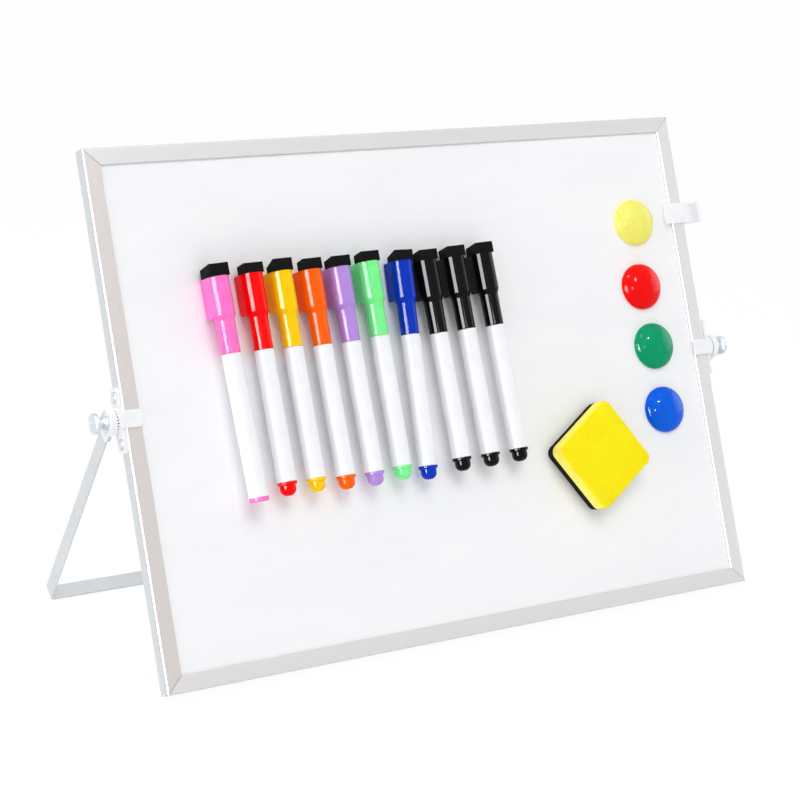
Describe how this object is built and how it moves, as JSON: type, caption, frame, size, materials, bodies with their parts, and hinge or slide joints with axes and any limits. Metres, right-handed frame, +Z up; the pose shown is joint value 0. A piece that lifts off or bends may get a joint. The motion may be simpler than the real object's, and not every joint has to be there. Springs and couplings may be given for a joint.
{
  "type": "magnetic desk whiteboard easel",
  "caption": "Framed magnetic whiteboard on a folding U-shaped easel leg, with capped markers, round magnets, an eraser and a pen clip.",
  "frame": {"origin": "on the table under the middle of the whole, at the centre of the bounding box's base", "axes": "+X to the right along the board, +Y backwards, +Z up from the table"},
  "size_m": [0.4398, 0.1596, 0.2797],
  "materials": {
    "satin_aluminium": "satin anodised, fine grain along the rail",
    "white_enamel": "glossy baked enamel on steel",
    "core_board": "light fibre core, hidden",
    "key_plastic": "moulded, hidden",
    "white_plastic": "moulded, fine satin",
    "zinc_steel": "bright zinc plating with a faint blue cast",
    "leg_paint": "silver powder paint, slightly rough",
    "ferrite": "dull sintered ferrite",
    "magnet_yellow": "glossy moulded",
    "magnet_red": "glossy moulded",
    "magnet_green": "glossy moulded",
    "magnet_blue": "glossy moulded",
    "eraser_foam": "dense foam, matt",
    "black_felt": "pressed felt over a thin magnetic sheet",
    "marker_barrel": "glossy moulded",
    "cap_felt": "pressed black felt",
    "ink_pink": "glossy moulded",
    "ink_red": "glossy moulded",
    "ink_yellow": "glossy moulded",
    "ink_orange": "glossy moulded",
    "ink_lavender": "glossy moulded",
    "ink_green": "glossy moulded",
    "ink_blue": "glossy moulded",
    "ink_black": "glossy moulded"
  },
  "bodies": {
    "board": {"writing_sheet_front": "white_enamel", "board_core": "core_board", "writing_sheet_back": "white_enamel", "frame_rail_top": "satin_aluminium", "frame_rail_bottom": "satin_aluminium", "frame_rail_left": "satin_aluminium", "frame_rail_right": "satin_aluminium", "corner_keys": "key_plastic", "pivot_bracket_left": "white_plastic", "pivot_bracket_right": "white_plastic", "bracket_screws": "zinc_steel", "thread_inserts": "zinc_steel"},
    "leg": {"leg_frame": "leg_paint", "leg_head_left": "white_plastic", "leg_head_right": "white_plastic"},
    "pen_clip": {"pen_clip": "white_plastic"},
    "eraser": {"eraser_foam": "eraser_foam", "eraser_felt_and_magnet": "black_felt"},
    "washer_left": {"lock_washer_left": "zinc_steel"},
    "thumb_left": {"thumb_screw_left": "zinc_steel"},
    "washer_right": {"lock_washer_right": "zinc_steel"},
    "thumb_right": {"thumb_screw_right": "zinc_steel"},
    "magnet_yellow": {"magnet_cap_yellow": "magnet_yellow", "magnet_ferrite_yellow": "ferrite"},
    "magnet_red": {"magnet_cap_red": "magnet_red", "magnet_ferrite_red": "ferrite"},
    "magnet_green": {"magnet_cap_green": "magnet_green", "magnet_ferrite_green": "ferrite"},
    "magnet_blue": {"magnet_cap_blue": "magnet_blue", "magnet_ferrite_blue": "ferrite"},
    "marker_pink": {"marker_body_pink": "marker_barrel"},
    "cap_pink": {"marker_cap_pink": "ink_pink", "cap_felt_pink": "cap_felt"},
    "marker_red": {"marker_body_red": "marker_barrel"},
    "cap_red": {"marker_cap_red": "ink_red", "cap_felt_red": "cap_felt"},
    "marker_yellow": {"marker_body_yellow": "marker_barrel"},
    "cap_yellow": {"marker_cap_yellow": "ink_yellow", "cap_felt_yellow": "cap_felt"},
    "marker_orange": {"marker_body_orange": "marker_barrel"},
    "cap_orange": {"marker_cap_orange": "ink_orange", "cap_felt_orange": "cap_felt"},
    "marker_lavender": {"marker_body_lavender": "marker_barrel"},
    "cap_lavender": {"marker_cap_lavender": "ink_lavender", "cap_felt_lavender": "cap_felt"},
    "marker_green": {"marker_body_green": "marker_barrel"},
    "cap_green": {"marker_cap_green": "ink_green", "cap_felt_green": "cap_felt"},
    "marker_blue": {"marker_body_blue": "marker_barrel"},
    "cap_blue": {"marker_cap_blue": "ink_blue", "cap_felt_blue": "cap_felt"},
    "marker_black_a": {"marker_body_black_a": "marker_barrel"},
    "cap_black_a": {"marker_cap_black_a": "ink_black", "cap_felt_black_a": "cap_felt"},
    "marker_black_b": {"marker_body_black_b": "marker_barrel"},
    "cap_black_b": {"marker_cap_black_b": "ink_black", "cap_felt_black_b": "cap_felt"},
    "marker_black_c": {"marker_body_black_c": "marker_barrel"},
    "cap_black_c": {"marker_cap_black_c": "ink_black", "cap_felt_black_c": "cap_felt"}
  },
  "joints": [
    {"name": "leg_hinge", "type": "hinge", "parent": "board", "child": "leg", "pos_m": [0, -0.01049, 0.14048], "axis": [1, 0, 0], "range_deg": [-197.1, 82.9]},
    {"name": "washer_slide_left", "type": "slide", "parent": "board", "child": "washer_left", "axis": [-1, 0, 0], "range_m": [0, 0.0029]},
    {"name": "thumb_screw_turn_left", "type": "hinge", "parent": "washer_left", "child": "thumb_left", "pos_m": [-0.2032, -0.01049, 0.14048], "axis": [-1, 0, 0], "range_deg": [0, 1440]},
    {"name": "washer_slide_right", "type": "slide", "parent": "board", "child": "washer_right", "axis": [1, 0, 0], "range_m": [0, 0.0029]},
    {"name": "thumb_screw_turn_right", "type": "hinge", "parent": "washer_right", "child": "thumb_right", "pos_m": [0.2032, -0.01049, 0.14048], "axis": [1, 0, 0], "range_deg": [0, 1440]},
    {"name": "pen_clip_slide", "type": "slide", "parent": "board", "child": "pen_clip", "axis": [0, 0.4241, 0.9056], "range_m": [-0.058, 0.047]},
    {"name": "eraser_lift", "type": "slide", "parent": "board", "child": "eraser", "axis": [0, -0.9056, 0.4241], "range_m": [0, 0.04]},
    {"name": "magnet_lift_yellow", "type": "slide", "parent": "board", "child": "magnet_yellow", "axis": [0, -0.9056, 0.4241], "range_m": [0, 0.04]},
    {"name": "magnet_lift_red", "type": "slide", "parent": "board", "child": "magnet_red", "axis": [0, -0.9056, 0.4241], "range_m": [0, 0.04]},
    {"name": "magnet_lift_green", "type": "slide", "parent": "board", "child": "magnet_green", "axis": [0, -0.9056, 0.4241], "range_m": [0, 0.04]},
    {"name": "magnet_lift_blue", "type": "slide", "parent": "board", "child": "magnet_blue", "axis": [0, -0.9056, 0.4241], "range_m": [0, 0.04]},
    {"name": "marker_lift_pink", "type": "slide", "parent": "board", "child": "marker_pink", "axis": [0, -0.9056, 0.4241], "range_m": [0, 0.04]},
    {"name": "cap_pull_pink", "type": "slide", "parent": "marker_pink", "child": "cap_pink", "axis": [-0.0332, 0.4238, 0.9051], "range_m": [0, 0.04]},
    {"name": "marker_lift_red", "type": "slide", "parent": "board", "child": "marker_red", "axis": [0, -0.9056, 0.4241], "range_m": [0, 0.04]},
    {"name": "cap_pull_red", "type": "slide", "parent": "marker_red", "child": "cap_red", "axis": [-0.014, 0.424, 0.9055], "range_m": [0, 0.04]},
    {"name": "marker_lift_yellow", "type": "slide", "parent": "board", "child": "marker_yellow", "axis": [0, -0.9056, 0.4241], "range_m": [0, 0.04]},
    {"name": "cap_pull_yellow", "type": "slide", "parent": "marker_yellow", "child": "cap_yellow", "axis": [-0.014, 0.424, 0.9055], "range_m": [0, 0.04]},
    {"name": "marker_lift_orange", "type": "slide", "parent": "board", "child": "marker_orange", "axis": [0, -0.9056, 0.4241], "range_m": [0, 0.04]},
    {"name": "cap_pull_orange", "type": "slide", "parent": "marker_orange", "child": "cap_orange", "axis": [-0.0157, 0.424, 0.9055], "range_m": [0, 0.04]},
    {"name": "marker_lift_lavender", "type": "slide", "parent": "board", "child": "marker_lavender", "axis": [0, -0.9056, 0.4241], "range_m": [0, 0.04]},
    {"name": "cap_pull_lavender", "type": "slide", "parent": "marker_lavender", "child": "cap_lavender", "axis": [-0.0157, 0.424, 0.9055], "range_m": [0, 0.04]},
    {"name": "marker_lift_green", "type": "slide", "parent": "board", "child": "marker_green", "axis": [0, -0.9056, 0.4241], "range_m": [0, 0.04]},
    {"name": "cap_pull_green", "type": "slide", "parent": "marker_green", "child": "cap_green", "axis": [-0.0105, 0.424, 0.9056], "range_m": [0, 0.04]},
    {"name": "marker_lift_blue", "type": "slide", "parent": "board", "child": "marker_blue", "axis": [0, -0.9056, 0.4241], "range_m": [0, 0.04]},
    {"name": "cap_pull_blue", "type": "slide", "parent": "marker_blue", "child": "cap_blue", "axis": [0.0332, 0.4238, 0.9051], "range_m": [0, 0.04]},
    {"name": "marker_lift_black_a", "type": "slide", "parent": "board", "child": "marker_black_a", "axis": [0, -0.9056, 0.4241], "range_m": [0, 0.04]},
    {"name": "cap_pull_black_a", "type": "slide", "parent": "marker_black_a", "child": "cap_black_a", "axis": [-0.0227, 0.424, 0.9054], "range_m": [0, 0.04]},
    {"name": "marker_lift_black_b", "type": "slide", "parent": "board", "child": "marker_black_b", "axis": [0, -0.9056, 0.4241], "range_m": [0, 0.04]},
    {"name": "cap_pull_black_b", "type": "slide", "parent": "marker_black_b", "child": "cap_black_b", "axis": [-0.0279, 0.4239, 0.9053], "range_m": [0, 0.04]},
    {"name": "marker_lift_black_c", "type": "slide", "parent": "board", "child": "marker_black_c", "axis": [0, -0.9056, 0.4241], "range_m": [0, 0.04]},
    {"name": "cap_pull_black_c", "type": "slide", "parent": "marker_black_c", "child": "cap_black_c", "axis": [-0.0314, 0.4239, 0.9052], "range_m": [0, 0.04]}
  ],
  "couplings": [
    {"joint": "washer_slide_left", "follows": "thumb_screw_turn_left", "m_per_rad": 0.00011141},
    {"joint": "washer_slide_right", "follows": "thumb_screw_turn_right", "m_per_rad": 0.00011141}
  ]
}
